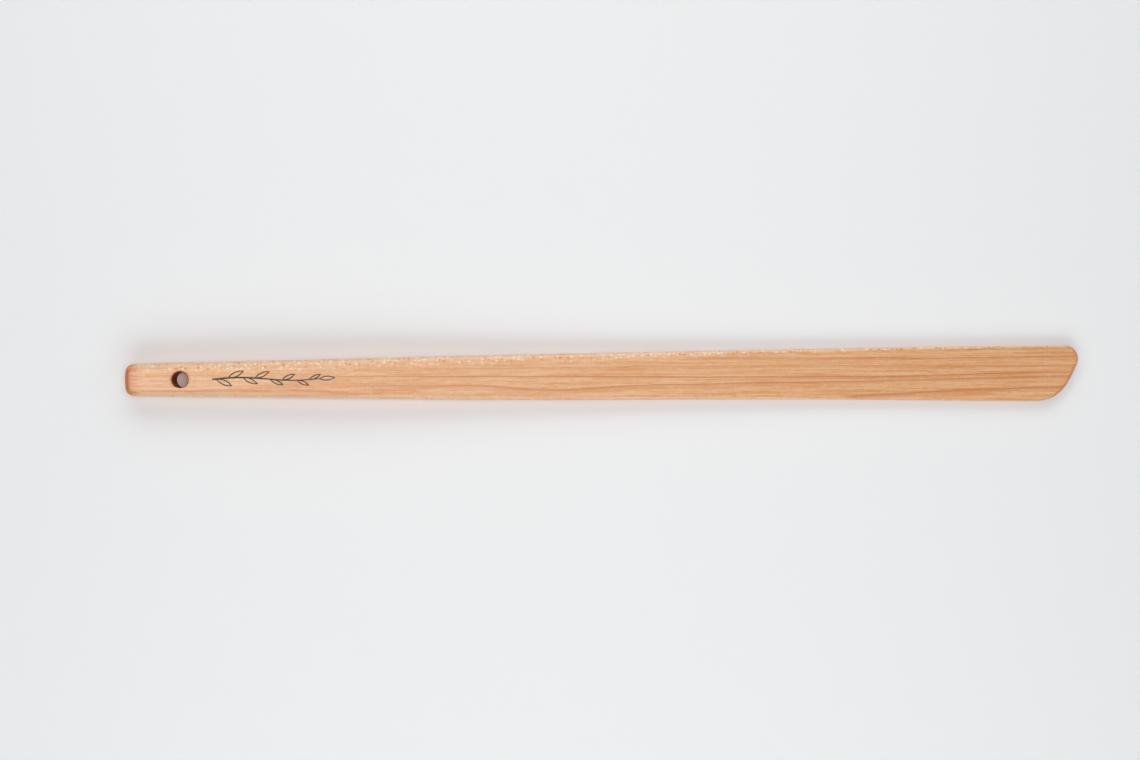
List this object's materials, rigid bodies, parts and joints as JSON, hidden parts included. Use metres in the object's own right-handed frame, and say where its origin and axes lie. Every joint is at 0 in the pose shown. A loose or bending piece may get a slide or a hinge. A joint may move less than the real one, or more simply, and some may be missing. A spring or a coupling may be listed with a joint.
{
  "type": "long shoehorn",
  "caption": "Long wooden shoehorn carved from one stick, with a hanging hole in the handle and a broad slanted blade that guides a heel into a shoe.",
  "frame": {"origin": "middle of the hanging hole, on its axis and half way through the handle", "axes": "+X from the handle end to the tip of the blade, +Y across, to the side on which the tip is longer, +Z out of the front face, along the hanging hole"},
  "size_m": [0.559, 0.0324, 0.0166],
  "materials": {
    "maple": "hard maple, sanded fine and oiled, satin",
    "char": "burned line, matt"
  },
  "bodies": {
    "root": {"shoehorn_body": "maple", "burned_ornament": "char"}
  },
  "joints": []
}
